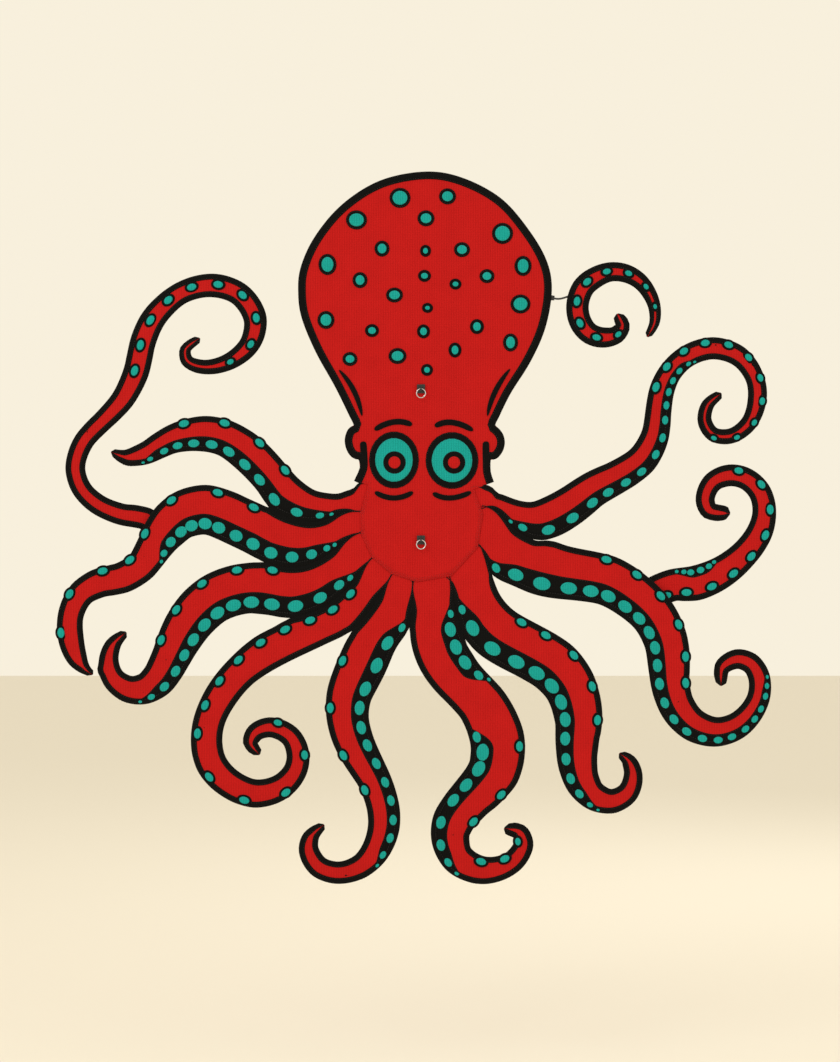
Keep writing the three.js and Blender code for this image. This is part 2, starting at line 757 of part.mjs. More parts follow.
const topBlock = box(
  [-TOP_BAR_HALF, FITTING_FRONT, TOP_STEM_BOTTOM], [TOP_BAR_HALF, 2 * FRAME_Y, TOP_BAR_TOP]);
const besideStem = (side) => box(
  [Math.min(side * TOP_STEM_HALF, side * 23), 0, TOP_STEM_BOTTOM - 1],
  [Math.max(side * TOP_STEM_HALF, side * 23), 10, TOP_BAR_BOTTOM]);
addPart('top_fitting', cut(topBlock, [
  spineRod(SPINE_ROD + FIT), hoopTube('left', HOOP_ROD + FIT), hoopTube('right', HOOP_ROD + FIT),
  besideStem(-1), besideStem(1),
]), nylon);

for (const [level, height] of Object.entries(SPREADER_HEIGHTS)) {
  addPart(`${level}_spreader`, spreaderRod(height, SPREADER_ROD), carbon);
  addPart(`${level}_spine_cross`, cut(
    box([-11, FITTING_FRONT, height - 9], [11, FITTING_BACK, height + 9]),
    [spineRod(SPINE_ROD + FIT), spreaderRod(height, SPREADER_ROD + FIT)]), nylon);
  for (const side of ['left', 'right']) {
    const x = hoopCrossing(side, height);
    const inward = side === 'left' ? 14 : -14;
    const low = [Math.min(x, x + inward) - 5, FITTING_FRONT, height - 7];
    const high = [Math.max(x, x + inward) + 5, FITTING_BACK, height + 7];
    addPart(`${level}_clip_${side}`, cut(
      box(low, high),
      [hoopTube(side, HOOP_ROD + FIT), spreaderRod(height, SPREADER_ROD + FIT)]), nylon);
  }
}

addPart('hub_ring', hubRing(), fibreglass);
const spineBore = spineRod(SPINE_ROD + FIT);
addPart('ring_clip_top', ringClip(90, 8, RING_CLIP_OUTER, [spineBore]), nylon);
addPart('ring_clip_bottom', ringClip(270, 6.5, RING_CLIP_OUTER_LOW, [spineBore]), nylon);
for (const side of ['left', 'right']) {
  const hoopBore = hoopTube(side, HOOP_ROD + FIT);
  addPart(`ring_clip_${side}`, ringClip(HOOP_BEARINGS[side], 7, HOOP_CLIP_OUTER, [hoopBore]), nylon);
}

const hubDisc = rod(
  new THREE.Vector3(0, FITTING_FRONT, 0), new THREE.Vector3(0, HUB_PLATE_BACK, 0),
  HUB_PLATE_RADIUS, 24);
addPart('hub_plate', cut(hubDisc, [spineRod(SPINE_ROD + FIT)]), nylon);

for (const [name, arm] of Object.entries(RING_ARMS)) {
  ringArm(name, arm);
}
for (const [name, arm] of Object.entries(CARRIED_ARMS)) {
  carriedArm(name, arm);
}
buildCurl();

for (const [level, height] of Object.entries(TOW_TAB_HEIGHTS)) {
  addPart(`${level}_tow_tab`, towTab(height), nylon);
  addPart(`${level}_tow_ring`, towRing(height), steel);
}

export default kite;
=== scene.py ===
"""Octopus kite: sewn cloth, patches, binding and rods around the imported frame. Metres, +Y to the back."""
import json
import math

import bmesh
import bpy
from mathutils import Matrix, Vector
from mathutils.geometry import delaunay_2d_cdt

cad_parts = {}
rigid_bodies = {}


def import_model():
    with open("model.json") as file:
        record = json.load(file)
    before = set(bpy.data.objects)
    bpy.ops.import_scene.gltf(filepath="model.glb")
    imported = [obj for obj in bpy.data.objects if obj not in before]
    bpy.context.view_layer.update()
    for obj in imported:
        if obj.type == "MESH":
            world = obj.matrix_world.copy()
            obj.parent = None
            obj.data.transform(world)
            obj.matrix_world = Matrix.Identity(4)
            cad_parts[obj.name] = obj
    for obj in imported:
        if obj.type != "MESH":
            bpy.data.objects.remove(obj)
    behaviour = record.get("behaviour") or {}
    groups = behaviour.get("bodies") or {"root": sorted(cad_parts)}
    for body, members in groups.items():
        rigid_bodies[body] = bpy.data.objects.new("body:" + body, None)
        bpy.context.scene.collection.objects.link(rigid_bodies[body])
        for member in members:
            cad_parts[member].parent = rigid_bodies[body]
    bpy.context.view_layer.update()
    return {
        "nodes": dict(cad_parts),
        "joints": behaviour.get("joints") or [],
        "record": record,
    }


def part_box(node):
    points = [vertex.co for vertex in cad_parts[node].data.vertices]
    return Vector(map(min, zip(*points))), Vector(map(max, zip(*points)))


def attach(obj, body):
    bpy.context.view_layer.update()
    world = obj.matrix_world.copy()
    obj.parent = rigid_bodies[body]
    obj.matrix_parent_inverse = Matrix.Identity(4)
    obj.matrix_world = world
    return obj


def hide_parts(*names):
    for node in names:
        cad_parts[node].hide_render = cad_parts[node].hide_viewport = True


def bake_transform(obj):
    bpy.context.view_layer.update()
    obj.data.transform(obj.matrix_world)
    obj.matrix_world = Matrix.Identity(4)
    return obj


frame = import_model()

nodes = frame["nodes"]
joints_by_body = {joint["child"]: joint for joint in frame["joints"]}
MM = 0.001

# ------------------------------------------------------------------ sizes

CLOTH = 0.7 * MM              # thickness of the kite cloth
BINDING_WIDTH = 12 * MM
HEAD_BINDING_WIDTH = 15 * MM
BINDING_RISE = 1.3 * MM       # how far the binding stands off the cloth
TIP_BINDING = 16 * MM         # the two bindings of an arm meet over its tip
BAND_RISE = 0.6 * MM
RIM_RISE = 1.7 * MM
PATCH_RISE = 2.1 * MM
SURFACE = 0.8 * MM            # the cloth lies this far behind the front of its CAD plate
CROWN = 1.2 * MM              # an arm's edges lie this far behind its middle
RIPPLE = 0.7 * MM
RIPPLE_LENGTH = 95 * MM
BILLOW = 5 * MM               # of the head cloth between its rods
ROOT_LAP = 11 * MM            # the arm cloth runs this far in behind the head cloth
ROOT_DROP = 1.4 * MM          # and this far behind it
ROOT_TAPER = 60 * MM          # the binding grows to its full width over this distance
NECK_TAPER = 10 * MM          # the same, along the outline of the neck
SHOULDER_LAP = 2 * MM         # of the two upper arms under the shoulders of the head cloth
SEAM_SHARE = 0.56             # of the gap between two arms that each of them closes
SEAM_SLIT = 0.35 * MM         # what each of them leaves open
SEAM_REACH = 10 * MM          # gaps up to this wide are closed
SEAM_FADE = 10 * MM           # and the closing fades out over this much more
NECK_FADE = 8 * MM            # the same, for the gaps between the neck and the two upper arms
SKIRT_REACH = 136 * MM        # corners of the head cloth nearer to the centre belong to its skirt
ROOT_STEADY = 14 * MM         # an arm's drop and binding stay the same this far from its root
ROOT_RISE = 26 * MM           # then it comes up to the surface over this length
FLAT_START = 40 * MM          # an arm has no ripple up to here
FLAT_FADE = 80 * MM
RIBBON_STEP = 6 * MM
SMALLEST_SUCKER = 2.4 * MM
STITCH_PITCH = 5 * MM
STITCH_LENGTH = 3.2 * MM
STITCH_WIDTH = 0.9 * MM
SPAR_ROD = 2 * MM
HOOP_ROD = 2.5 * MM
SPINE_ROD = 3 * MM
SPINE_Y = 4.5 * MM            # the middle of the spine behind the origin
CLOTH_TO_SPAR = 4.9 * MM      # from the back of the cloth to the middle of a spar
STRAP_WALL = 0.6 * MM
STRAP_PLAY = 1 * MM           # between a rod and the strap over it
STRAP_INNER = 2 * MM          # the sewn flanks of a strap, from the side of the rod
STRAP_OUTER = 5.5 * MM
FIRST_LOOP = 60 * MM          # from the end of a rod to its first strap
SPAR_LOOP_PITCH = 85 * MM
HOOP_LOOP_PITCH = 75 * MM
LOWEST_HOOP_LOOP = 160 * MM
CLIP_CLEARANCE = 15 * MM      # of a strap on a hoop from the clips of the spreaders
SPAR_LOOP_WIDTH = 16 * MM
HOOP_LOOP_WIDTH = 22 * MM
SPINE_LOOP_WIDTH = 24 * MM
SPINE_LOOPS = (0.06, 0.19, 0.36, 0.42, 0.56, 0.63)
THREAD_PITCH = 3.4 * MM       # of the weave that shows in the cloth

# ------------------------------------------------------------------ materials


def node_tree(name):
    material = bpy.data.materials.new(name)
    material.use_nodes = True
    return material, material.node_tree.nodes, material.node_tree.links


def combine(made, link, operation, *values):
    """A maths node; each value is a number or the output of another node."""
    maths = made.new("ShaderNodeMath")
    maths.operation = operation
    for socket, value in zip(maths.inputs, values):
        if isinstance(value, float):
            socket.default_value = value
        else:
            link.new(value, socket)
    return maths.outputs[0]


def noise_field(made, link, place, scale, detail):
    noise = made.new("ShaderNodeTexNoise")
    noise.inputs["Scale"].default_value = scale
    noise.inputs["Detail"].default_value = detail
    link.new(place, noise.inputs["Vector"])
    return noise.outputs["Fac"]


def thread_wave(made, link, place, direction):
    """One of the two sets of threads of a weave."""
    wave = made.new("ShaderNodeTexWave")
    wave.bands_direction = direction
    wave.inputs["Scale"].default_value = math.tau / 20 / THREAD_PITCH
    wave.inputs["Distortion"].default_value = 0.6
    wave.inputs["Detail Scale"].default_value = 0.6
    link.new(place, wave.inputs["Vector"])
    return wave.outputs["Fac"]


def add_relief(made, link, height, strength, distance):
    relief = made.new("ShaderNodeBump")
    relief.inputs["Strength"].default_value = strength
    relief.inputs["Distance"].default_value = distance
    link.new(height, relief.inputs["Height"])
    link.new(relief.outputs["Normal"], made["Principled BSDF"].inputs["Normal"])


def cloth_material(name, dark, light, bump=0.35):
    """Plain-weave cloth: two crossed sets of threads, slight unevenness of the dye, and a soft sheen."""
    material, made, link = node_tree(name)
    shader = made["Principled BSDF"]
    shader.inputs["Roughness"].default_value = 0.88
    shader.inputs["Sheen Weight"].default_value = 0.03
    shader.inputs["Sheen Roughness"].default_value = 0.5
    shader.inputs["Specular IOR Level"].default_value = 0.12
    uv = made.new("ShaderNodeUVMap")
    uv.uv_map = "cloth"
    place = uv.outputs["UV"]
    warp = thread_wave(made, link, place, "X")
    weft = thread_wave(made, link, place, "Y")
    weave = combine(made, link, "MULTIPLY", warp, weft)
    threads = combine(made, link, "ADD", weave, warp)
    dye = noise_field(made, link, place, 26, 5)
    slub = noise_field(made, link, place, 420, 2)
    mottle = combine(made, link, "MULTIPLY_ADD", dye, 0.45, slub)
    tone = combine(made, link, "MULTIPLY", mottle, 0.62)
    shade = combine(made, link, "MULTIPLY_ADD", threads, 0.28, tone)
    ramp = made.new("ShaderNodeValToRGB")
    ramp.color_ramp.elements[0].position = 0.25
    ramp.color_ramp.elements[0].color = (*dark, 1)
    ramp.color_ramp.elements[1].position = 0.95
    ramp.color_ramp.elements[1].color = (*light, 1)
    link.new(shade, ramp.inputs["Fac"])
    link.new(ramp.outputs["Color"], shader.inputs["Base Color"])
    add_relief(made, link, threads, bump, 0.4 * MM)
    return material


def moulded_material(name, colour, roughness, grain, metal=0.0, scale=900):
    """Moulded or drawn material: a fine grain in its roughness and surface."""
    material, made, link = node_tree(name)
    shader = made["Principled BSDF"]
    shader.inputs["Base Color"].default_value = (*colour, 1)
    shader.inputs["Metallic"].default_value = metal
    place = made.new("ShaderNodeTexCoord").outputs["Object"]
    field = noise_field(made, link, place, scale, 3)
    rough = made.new("ShaderNodeMapRange")
    rough.inputs["To Min"].default_value = roughness - 0.1
    rough.inputs["To Max"].default_value = roughness + 0.1
    link.new(field, rough.inputs["Value"])
    link.new(rough.outputs["Result"], shader.inputs["Roughness"])
    add_relief(made, link, field, grain, 0.1 * MM)
    return material


RED = cloth_material("red cloth", (0.35, 0.004, 0.004), (0.59, 0.011, 0.010))
BLACK = cloth_material("black cloth", (0.0005, 0.0005, 0.0005), (0.004, 0.004, 0.004), bump=0.25)
TEAL = cloth_material("teal cloth", (0.003, 0.23, 0.21), (0.012, 0.42, 0.39))
RED_THREAD = moulded_material("red thread", (0.42, 0.02, 0.02), 0.6, 0.3)
BLACK_THREAD = moulded_material("black thread", (0.03, 0.03, 0.03), 0.5, 0.3)
TEAL_THREAD = moulded_material("teal thread", (0.04, 0.5, 0.44), 0.6, 0.3)
NYLON = moulded_material("black nylon", (0.014, 0.014, 0.015), 0.5, 0.4)
FIBREGLASS = moulded_material("fibreglass rod", (0.025, 0.025, 0.027), 0.3, 0.15, scale=400)
CARBON = moulded_material("carbon tube", (0.012, 0.012, 0.014), 0.25, 0.2, scale=600)
STEEL = moulded_material("steel wire", (0.62, 0.62, 0.64), 0.25, 0.1, metal=1.0)
VINYL = moulded_material("vinyl cap", (0.45, 0.02, 0.02), 0.4, 0.1)

CAD_LOOKS = {
    "black_nylon": NYLON, "fibreglass_rod": FIBREGLASS, "carbon_rod": CARBON, "steel_wire": STEEL,
    "red_cloth": RED,
}
for subpart in frame["record"]["subparts"]:
    part = nodes[subpart["node"]]
    part.data.materials.clear()
    part.data.materials.append(CAD_LOOKS[subpart["material_slot"]])

# ------------------------------------------------------------------ mesh building


class Piece:
    """Gathers the faces of one piece. Its UVs are its place in the sewn kite, in metres."""

    def __init__(self):
        self.verts = []
        self.faces = []

    def add(self, verts, faces):
        base = len(self.verts)
        self.verts.extend(verts)
        self.faces.extend(tuple(base + i for i in face) for face in faces)

    def loft(self, rings, closed=False, capped=False):
        """Quads between rings of equal length. closed joins each ring's ends, capped fills both ends."""
        count = len(rings[0])
        faces = []
        for i in range(len(rings) - 1):
            for k in range(count if closed else count - 1):
                a = i * count + k
                b = i * count + (k + 1) % count
                faces.append((a, b, b + count, a + count))
        if capped:
            last = (len(rings) - 1) * count
            faces.append(tuple(range(count - 1, -1, -1)))
            faces.append(tuple(last + k for k in range(count)))
        self.add([point for ring in rings for point in ring], faces)

    def build(self, name, material, slot):
        mesh = bpy.data.meshes.new(name)
        mesh.from_pydata(self.verts, [], self.faces)
        flat = bmesh.new()
        flat.from_mesh(mesh)
        bmesh.ops.recalc_face_normals(flat, faces=flat.faces)
        uv = flat.loops.layers.uv.new("cloth")
        for face in flat.faces:
            face.smooth = True
            for loop in face.loops:
                loop[uv].uv = (loop.vert.co.x, loop.vert.co.z)
        flat.to_mesh(mesh)
        flat.free()
        mesh.materials.append(material)
        made = bpy.data.objects.new(name, mesh)
        bpy.context.scene.collection.objects.link(made)
        return made


def smoothstep(value):
    value = min(1.0, max(0.0, value))
    return value * value * (3 - 2 * value)


def mix(a, b, share):
    return a + (b - a) * share


def catmull(before, start, end, after, share):
    """A point of the smooth curve through start and end."""
    second = share * share
    third = second * share
    return 0.5 * (
        2 * start + (end - before) * share
        + (2 * before - 5 * start + 4 * end - after) * second
        + (3 * start - before - 3 * end + after) * third)


def smoothed(points, per_segment):
    """A finer list of points on the smooth curve through a list of points."""
    fine = []
    for i in range(len(points) - 1):
        before = points[max(0, i - 1)]
        after = points[min(len(points) - 1, i + 2)]
        for k in range(per_segment):
            fine.append(catmull(before, points[i], points[i + 1], after, k / per_segment))
    return fine + [points[-1]]


def flat_turn(vector):
    """The vector a quarter turn to the left, seen from the front."""
    return Vector((-vector.z, 0, vector.x))


FRONT = Vector((0, -1, 0))


def dome_patch(piece, centre, along, across, half_along, half_across, rise, height=None):
    """A sewn oval patch: a rolled edge and a slightly full middle, standing off the cloth."""
    sides = 26
    rings = []
    sunk = -0.25 * MM / rise
    for scale, lift in ((1.0, sunk), (1.0, 0.55), (0.94, 0.95), (0.8, 1.0), (0.45, 1.18), (0.02, 1.22)):
        ring = []
        for i in range(sides):
            turn = math.tau * i / sides
            at = centre + along * (half_along * scale * math.cos(turn))
            at = at + across * (half_across * scale * math.sin(turn))
            if height:
                at.y = height(at.x, at.z)
            ring.append(at + FRONT * (rise * lift))
        rings.append(ring)
    piece.loft(rings, closed=True, capped=True)


def stitch(piece, at, along, across):
    """One thread of a seam: a slim grain that stands on the cloth."""
    half = along * (STITCH_LENGTH / 2)
    side = across * (STITCH_WIDTH / 2)
    up = FRONT * 0.45 * MM
    verts = [at - half, at + half, at + side, at - side, at + up, at - up]
    faces = [(0, 2, 4), (2, 1, 4), (1, 3, 4), (3, 0, 4), (2, 0, 5), (1, 2, 5), (3, 1, 5), (0, 3, 5)]
    piece.add(verts, faces)


def seam_line(piece, points, rise):
    """A row of stitches along a list of points."""
    travelled = 0.0
    due = STITCH_PITCH / 2
    for start, end in zip(points, points[1:]):
        run = end - start
        length = run.length
        if length < 1e-7:
            continue
        along = run / length
        while travelled + length >= due:
            at = start + along * (due - travelled)
            stitch(piece, at + FRONT * rise, along, flat_turn(along))
            due += STITCH_PITCH
        travelled += length


def oval_seam(piece, centre, along, across, half_along, half_across, rise, height=None):
    """A ring of stitches just inside the edge of an oval patch."""
    points = []
    for i in range(41):
        turn = math.tau * i / 40
        at = centre + along * ((half_along - 2 * MM) * math.cos(turn))
        at = at + across * ((half_across - 2 * MM) * math.sin(turn))
        if height:
            at.y = height(at.x, at.z)
        points.append(at)
    seam_line(piece, points, rise)


def rod_rings(points, radius, sides=12):
    """Rings of a round rod along a list of points."""
    rings = []
    for i, at in enumerate(points):
        ahead = points[min(i + 1, len(points) - 1)] - points[max(i - 1, 0)]
        ahead.normalize()
        side = ahead.cross(FRONT).normalized()
        up = side.cross(ahead)
        rings.append([
            at + (side * math.cos(math.tau * k / sides) + up * math.sin(math.tau * k / sides)) * radius
            for k in range(sides)])
    return rings


def strap(piece, at, along, rod_radius, cloth_back, width):
    """A cloth loop sewn to the back of the cloth that holds a rod against it."""
    side = flat_turn(along).normalized()
    inner_flank = rod_radius + STRAP_INNER
    outer_flank = rod_radius + STRAP_OUTER
    profile = [(-outer_flank, cloth_back), (-inner_flank, cloth_back)]
    for i in range(9):
        turn = math.pi * i / 8
        reach = rod_radius + STRAP_PLAY
        profile.append((-reach * math.cos(turn), at.y + reach * math.sin(turn)))
    profile += [(inner_flank, cloth_back), (outer_flank, cloth_back)]
    rings = []
    for end in (-width / 2, width / 2):
        inner = [Vector((at.x, 0, at.z)) + along * end + side * u + Vector((0, y, 0)) for u, y in profile]
        outer = [point + Vector((0, STRAP_WALL, 0)) for point in inner]
        rings.append(inner + outer[::-1])
    piece.loft(rings, closed=True, capped=True)


# ------------------------------------------------------------------ shapes read from the frame


def front_rim(node):
    """The loop of corners round the front of a cloth plate, in order."""
    plate = bmesh.new()
    plate.from_mesh(nodes[node].data)
    bmesh.ops.remove_doubles(plate, verts=plate.verts, dist=0.02 * MM)
    plate.verts.index_update()
    foremost = {}
    for corner in plate.verts:
        column = (round(corner.co.x, 5), round(corner.co.z, 5))
        foremost.setdefault(column, []).append(corner)
    front = {min(column, key=lambda corner: corner.co.y) for column in foremost.values()}
    following = {}
    for edge in plate.edges:
        a, b = edge.verts
        if sum(all(corner in front for corner in face.verts) for face in edge.link_faces) == 1:
            following.setdefault(a, []).append(b)
            following.setdefault(b, []).append(a)
    first = next(iter(following))
    loop = [first, following[first][0]]
    while loop[-1] is not first and len(loop) <= len(following):
        loop.append(next(corner for corner in following[loop[-1]] if corner is not loop[-2]))
    corners = [corner.co.copy() for corner in loop[:-1]]
    plate.free()
    return corners


def rod_path(node):
    """The middle line of a rod, from the centres of its rings of corners."""
    reach = 9 * MM
    left = [vertex.co.copy() for vertex in nodes[node].data.vertices]
    centres = []
    while left:
        seed = left[0]
        ring = [co for co in left if (co - seed).length < reach]
        left = [co for co in left if (co - seed).length >= reach]
        unique = {tuple(round(x, 5) for x in co): co for co in ring}
        centres.append(sum(unique.values(), Vector()) / len(unique))
    return centres


def in_order(centres, start):
    """Centres sorted by walking to the nearest one, from the one nearest to start."""
    rest = list(centres)
    at = min(rest, key=lambda co: (co - start).length)
    path = []
    while rest:
        rest.remove(at)
        path.append(at)
        if rest:
            at = min(rest, key=lambda co: (co - path[-1]).length)
    return path


def distance_to_line(x, z, line):
    """How far a place is from a line of corners, seen from the front."""
    nearest = 1.0
    for a, b in zip(line, line[1:]):
        run_x, run_z = b.x - a.x, b.z - a.z
        share = ((x - a.x) * run_x + (z - a.z) * run_z) / max(1e-12, run_x ** 2 + run_z ** 2)
        share = min(1, max(0, share))
        nearest = min(nearest, math.hypot(x - a.x - share * run_x, z - a.z - share * run_z))
    return nearest


def distance_to_rim(x, z, rim):
    return distance_to_line(x, z, rim + rim[:1])


RING_ARMS = [
    name for name, joint in joints_by_body.items()
    if joint["parent"] == "head" and name.startswith("arm_")]
arm_rims = {name: front_rim(name + "_sail") for name in RING_ARMS}
head_rim = front_rim("head_sail")

# The edges that carry on the outline of the neck, on the arm's left (1) or right (-1), and the
# gap to the head cloth that each one closes.
NECK_EDGES = {("arm_2", -1): 8.5 * MM, ("arm_11", 1): 14 * MM}


def seam_allowance(name, side, point):
    """How far an edge may move out to close the gap in front of it to the cloth beside it."""
    if name not in RING_ARMS:
        return 0.0
    if (name, side) in NECK_EDGES:
        above = distance_to_rim(point.x, point.z, head_rim)
        closed = NECK_EDGES[name, side]
        return (above + SHOULDER_LAP) * (1 - smoothstep((above - closed) / NECK_FADE))
    others = [arm_rims[other] for other in RING_ARMS if other != name]
    beside = min(distance_to_rim(point.x, point.z, rim) for rim in others)
    allowance = SEAM_SHARE * beside - SEAM_SLIT
    return max(0.0, allowance) * (1 - smoothstep((beside - SEAM_REACH) / SEAM_FADE))


LAP_SAMPLES = 5               # points of an edge between two corners of its CAD plate

# Edges are smoothed between two distances from the hub.
EASE_START = 135 * MM
NECK_EASE_START = 165 * MM
EASE_END = 380 * MM
EASE_FADE_IN = 30 * MM
EASE_FADE_OUT = 60 * MM
EASE_ROUNDS = 14
EASE_PULL = 0.6


def let_out(name, side, edge, opposite):
    """An edge with its seam allowance; under the head it keeps the allowance of its root."""
    allowances = [seam_allowance(name, side, point) for point in edge]
    if name in RING_ARMS:
        allowances[:LAP_SAMPLES] = [allowances[LAP_SAMPLES]] * LAP_SAMPLES
    moved = [
        point + (point - across).normalized() * allowance
        for point, across, allowance in zip(edge, opposite, allowances)]
    if name in RING_ARMS:
        moved = eased(moved, NECK_EASE_START if (name, side) in NECK_EDGES else EASE_START)
    return moved


def eased(points, start):
    """Points of an edge with the kinks near the hub smoothed out."""
    for _ in range(EASE_ROUNDS):
        moved = list(points)
        for i in range(1, len(points) - 1):
            reach = math.hypot(points[i].x, points[i].z)
            fade_in = smoothstep((reach - start) / EASE_FADE_IN)
            fade_out = smoothstep((EASE_END - reach) / EASE_FADE_OUT)
            halfway = (points[i - 1] + points[i + 1]) / 2
            moved[i] = mix(points[i], halfway, EASE_PULL * fade_in * fade_out)
        points = moved
    return points


class Ribbon:
    """A strip of cloth between two edges. along is metres from the root, across is -1 to 1 (left)."""

    def __init__(self, name, near, lap=None):
        node = name + "_sail"
        self.lapped = lap is not None
        rim = front_rim(node)
        count = len(rim)
        start = min(range(count), key=lambda i: ((rim[i] + rim[(i + 1) % count]) / 2 - near).length)
        walk = [rim[(start + 1 + k) % count] for k in range(count)]
        one = walk[:count // 2]
        other = walk[count // 2:][::-1]
        heading = (one[1] + other[1]) - (one[0] + other[0])
        if (one[0] - other[0]).dot(flat_turn(heading)) < 0:
            one, other = other, one
        if lap:
            one = [one[0] - lap] + one
            other = [other[0] - lap] + other
        # The last pair of corners is a blunt tip, and so is the curl's first one.
        blunt = slice(1 if name == "curl" else 0, -1)
        left = smoothed(one[blunt], LAP_SAMPLES)
        right = smoothed(other[blunt], LAP_SAMPLES)
        self.left = let_out(name, 1, left, right)
        self.right = let_out(name, -1, right, left)
        if name == "curl":
            self.turn_round()
            self.round_off()
            self.turn_round()
        self.round_off()

    def measure(self):
        self.reached = [0.0]
        for i in range(1, len(self.left)):
            step = mix(self.left[i], self.right[i], 0.5) - mix(self.left[i - 1], self.right[i - 1], 0.5)
            self.reached.append(self.reached[-1] + step.length)
        self.length = self.reached[-1]

    def turn_round(self):
        self.left, self.right = self.right[::-1], self.left[::-1]

    def round_off(self):
        """Closes the tip with a half circle."""
        left, right = self.left[-1], self.right[-1]
        middle = mix(left, right, 0.5)
        half = (left - right).length / 2
        ahead = middle - mix(self.left[-2], self.right[-2], 0.5)
        ahead.normalize()
        for degrees in (20, 40, 58, 72, 82):
            turn = math.radians(degrees)
            centre = middle + ahead * (half * math.sin(turn))
            self.left.append(centre + (left - middle) * math.cos(turn))
            self.right.append(centre + (right - middle) * math.cos(turn))

    def pair(self, along):
        along = min(max(along, 0.0), self.length)
        low, high = 0, len(self.reached) - 1
        while high - low > 1:
            middle = (low + high) // 2
            if self.reached[middle] <= along:
                low = middle
            else:
                high = middle
        share = (along - self.reached[low]) / max(1e-9, self.reached[high] - self.reached[low])
        return mix(self.left[low], self.left[high], share), mix(self.right[low], self.right[high], share)

    def width(self, along):
        left, right = self.pair(along)
        return (left - right).length

    def at(self, along, across):
        """A point on the front of the cloth."""
        left, right = self.pair(along)
        point = mix(right, left, (across + 1) / 2)
        settled = smoothstep((along - FLAT_START) / FLAT_FADE)
        ripple = RIPPLE * math.sin(math.tau * along / RIPPLE_LENGTH + 1.7 * across) * (1 - across * across)
        point.y += SURFACE + settled * (CROWN * across * across + ripple)
        if self.lapped:
            point.y += ROOT_DROP * (1 - smoothstep((along - ROOT_STEADY) / ROOT_RISE))
        return point

    def inset(self, along, side, distance):
        """A point that far in from one edge; side is 1 for the left edge, -1 for the right."""
        share = 2 * distance / max(self.width(along), 1e-6)
        return self.at(along, side * (1 - min(share, 1.96)))

    def axes(self, along, across):
        """The directions along and across the strip at a place."""
        ahead = self.at(along + 1.5 * MM, across) - self.at(along - 1.5 * MM, across)
        ahead.normalize()
        return ahead, flat_turn(ahead).normalized()

    def steps(self, start, end, step=RIBBON_STEP):
        count = max(2, round((end - start) / step))
        return [start + (end - start) * i / count for i in range(count + 1)]

    def area(self):
        whole = 0.0
        for a, b in zip(self.reached, self.reached[1:]):
            whole += (b - a) * (self.width(a) + self.width(b)) / 2
        return whole


# ------------------------------------------------------------------ the arms

# bands: (side, from, to, share of the width, how many suckers); spots: (side, from, to, how many,
# place across). from and to are shares of the arm's length; side is 1 for left, -1 for right.
ARM_PATTERN = {
    "arm_1": {"bands": [], "spots": [(1, 0.42, 0.86, 10, 0.12)]},
    "arm_2": {"bands": [(1, 0.05, 0.95, 0.43, 14)], "spots": [(-1, 0.36, 0.72, 4, 0.8)]},
    "arm_3": {"bands": [(1, 0.03, 0.62, 0.42, 15)], "spots": [(-1, 0.30, 0.88, 8, 0.78)]},
    "arm_4": {"bands": [(1, 0.03, 0.82, 0.42, 16)], "spots": [(-1, 0.30, 0.62, 5, 0.78)]},
    "arm_5": {"bands": [], "spots": [(-1, 0.09, 0.52, 9, 0.6), (-1, 0.60, 0.90, 5, 0.6)]},
    "arm_6": {"bands": [(1, 0.05, 0.78, 0.42, 15)], "spots": [(-1, 0.25, 0.55, 4, 0.8)]},
    "arm_7": {
        "bands": [(1, 0.03, 0.33, 0.40, 6), (-1, 0.34, 0.80, 0.42, 10)],
        "spots": [(1, 0.44, 0.62, 3, 0.8), (1, 0.80, 0.94, 3, 0.6)],
    },
    "arm_8": {"bands": [(-1, 0.05, 0.84, 0.42, 15)], "spots": [(1, 0.26, 0.56, 5, 0.8)]},
    "arm_9": {"bands": [(-1, 0.03, 0.90, 0.42, 26)], "spots": [(1, 0.28, 0.56, 6, 0.8)]},
    "arm_10": {"bands": [(1, 0.03, 0.34, 0.34, 8)], "spots": [(-1, 0.06, 0.72, 9, 0.5)]},
    "arm_11": {"bands": [(-1, 0.04, 0.62, 0.42, 18)], "spots": [(1, 0.50, 0.90, 11, 0.55)]},
    "curl": {"bands": [], "spots": [(1, 0.10, 0.86, 9, 0.1)]},
}
CARRIED = {"arm_1": "arm_3", "arm_10": "arm_9", "curl": "head"}
CURL_TIP = Vector((0.395, 0, 0.411))
COLUMNS = [-1, -0.9, -0.75, -0.55, -0.35, -0.15, 0, 0.15, 0.35, 0.55, 0.75, 0.9, 1]

NARROWEST_BAND = 1.5 * MM
BAND_GROWS = 90 * MM          # a band widens over this length and narrows over the next one
BAND_SHRINKS = 70 * MM
FIRST_SUCKER = 42 * MM        # from the start of the band
LAST_SUCKER = 22 * MM         # from its end
SUCKER_STEP = 3 * MM
SEWN_SUCKER = 7 * MM          # suckers with a larger half width than this have a row of stitches
EDGE_CLEARANCE = 8 * MM       # of the middle of a spot from the edge of its arm
SPOT_LENGTH = 10.5 * MM       # largest half length and half width of an arm's spots
SPOT_WIDTH = 7 * MM
SPOT_RISE = PATCH_RISE + 0.9 * MM
# The end cap of a spar: mm beyond the tip of the spar, and radius in mm.
CAP_PROFILE = [(-14, 2.1), (-13.4, 2.9), (0, 2.9), (1.4, 2.3), (2, 0.9)]


def root_taper(name, along, side):
    """The share of its full width that the binding has at a place."""
    if name in CARRIED:
        return 1.0
    if (name, side) in NECK_EDGES:
        return 0.05 + 0.95 * smoothstep((along - ROOT_STEADY) / NECK_TAPER)
    return 0.12 + 0.88 * smoothstep((along - ROOT_STEADY) / ROOT_TAPER)


